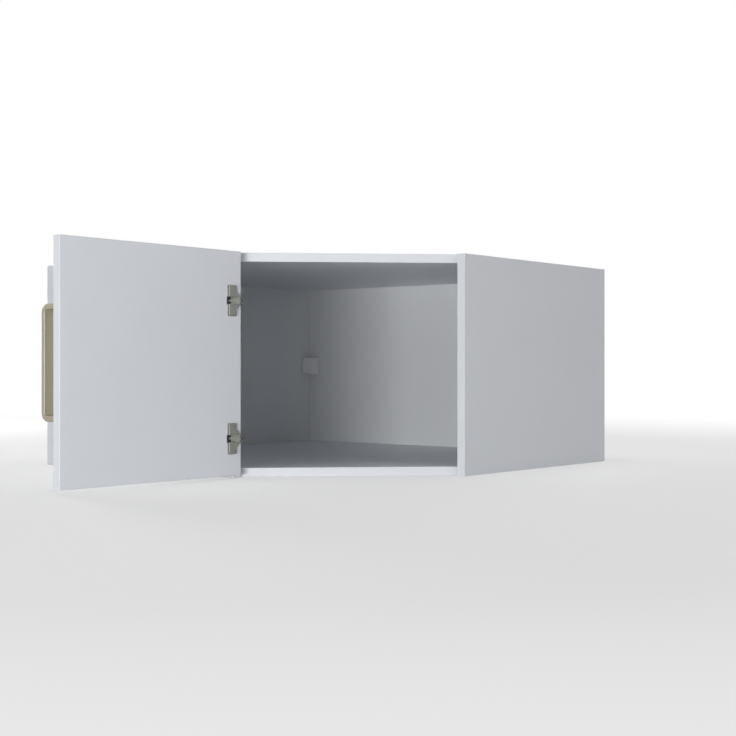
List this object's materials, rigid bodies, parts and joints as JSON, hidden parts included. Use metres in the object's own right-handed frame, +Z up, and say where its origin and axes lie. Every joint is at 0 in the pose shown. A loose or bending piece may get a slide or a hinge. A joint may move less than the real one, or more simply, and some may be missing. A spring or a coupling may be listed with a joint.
{
  "type": "corner wall cabinet",
  "caption": "Five-sided corner wall cabinet with a diagonal front, one door on concealed hinges and a strap handle, hung on two wall plates.",
  "frame": {"origin": "where the two walls meet, at the height of the underside", "axes": "+X along the right-hand wall, -Y along the left-hand wall, +Z up; the front faces between +X and -Y"},
  "size_m": [0.8115, 1.2147, 0.4],
  "materials": {
    "white_board": "white melamine-faced board, slight satin",
    "back_board": "thin painted fibreboard",
    "door_board": "white melamine-faced board, slight satin",
    "dowel_beech": "grooved beech",
    "block_plastic": "moulded, fine texture",
    "white_plastic": "moulded",
    "handle_metal": "satin champagne",
    "bracket_plastic": "moulded",
    "zinc": "die-cast zinc",
    "hinge_zinc": "die-cast zinc, nickel plated",
    "hinge_steel": "pressed steel, nickel plated",
    "screw_steel": "nickel plated steel",
    "plate_steel": "zinc plated steel"
  },
  "bodies": {
    "carcass": {"bottom_hinge_adjusting_screws": "screw_steel", "bottom_hinge_arm": "hinge_steel", "bottom_hinge_arm_pins": "screw_steel", "bottom_hinge_mounting_plate": "hinge_steel", "bottom_hinge_plate_screws": "screw_steel", "bottom_panel": "white_board", "cam_bolts": "screw_steel", "cam_housings": "zinc", "corner_block": "block_plastic", "corner_block_screws": "screw_steel", "left_back_board": "back_board", "left_bracket_adjusting_screws": "screw_steel", "left_bracket_fixing_screws": "screw_steel", "left_bracket_hook": "plate_steel", "left_hanging_bracket": "bracket_plastic", "left_side_panel": "white_board", "left_wall_plate": "plate_steel", "right_back_board": "back_board", "right_bracket_adjusting_screws": "screw_steel", "right_bracket_fixing_screws": "screw_steel", "right_bracket_hook": "plate_steel", "right_hanging_bracket": "bracket_plastic", "right_side_panel": "white_board", "right_wall_plate": "plate_steel", "top_hinge_adjusting_screws": "screw_steel", "top_hinge_arm": "hinge_steel", "top_hinge_arm_pins": "screw_steel", "top_hinge_mounting_plate": "hinge_steel", "top_hinge_plate_screws": "screw_steel", "top_panel": "white_board", "wooden_dowels": "dowel_beech"},
    "door": {"bottom_hinge_cup": "hinge_zinc", "bottom_hinge_cup_pin": "screw_steel", "bottom_hinge_cup_screws": "screw_steel", "door_panel": "door_board", "handle": "handle_metal", "handle_screw_caps": "white_plastic", "handle_screws": "screw_steel", "top_hinge_cup": "hinge_zinc", "top_hinge_cup_pin": "screw_steel", "top_hinge_cup_screws": "screw_steel"},
    "top_outer_link": {"top_hinge_outer_link": "hinge_steel"},
    "top_inner_link": {"top_hinge_inner_link": "hinge_steel"},
    "bottom_outer_link": {"bottom_hinge_outer_link": "hinge_steel"},
    "bottom_inner_link": {"bottom_hinge_inner_link": "hinge_steel"}
  },
  "joints": [
    {"name": "top_outer_link_swing", "type": "hinge", "parent": "carcass", "child": "top_outer_link", "pos_m": [0.48597, -0.78594, 0.312], "axis": [0, 0, 1], "range_deg": [0, 27.06]},
    {"name": "door_swing", "type": "hinge", "parent": "top_outer_link", "child": "door", "pos_m": [0.52863, -0.82819, 0.312], "axis": [0, 0, 1], "range_deg": [0, 107.94]},
    {"name": "top_inner_link_swing", "type": "hinge", "parent": "carcass", "child": "top_inner_link", "pos_m": [0.49148, -0.79166, 0.312], "axis": [0, 0, 1], "range_deg": [0, 41.21]},
    {"name": "bottom_outer_link_swing", "type": "hinge", "parent": "carcass", "child": "bottom_outer_link", "pos_m": [0.48597, -0.78594, 0.071], "axis": [0, 0, 1], "range_deg": [0, 27.06]},
    {"name": "bottom_inner_link_swing", "type": "hinge", "parent": "carcass", "child": "bottom_inner_link", "pos_m": [0.49148, -0.79166, 0.071], "axis": [0, 0, 1], "range_deg": [0, 41.21]}
  ],
  "couplings": [
    {"joint": "top_outer_link_swing", "follows": "door_swing", "ratio": 0.25069},
    {"joint": "bottom_outer_link_swing", "follows": "door_swing", "ratio": 0.25069},
    {"joint": "top_inner_link_swing", "follows": "door_swing", "ratio": 0.38175},
    {"joint": "bottom_inner_link_swing", "follows": "door_swing", "ratio": 0.38175}
  ]
}
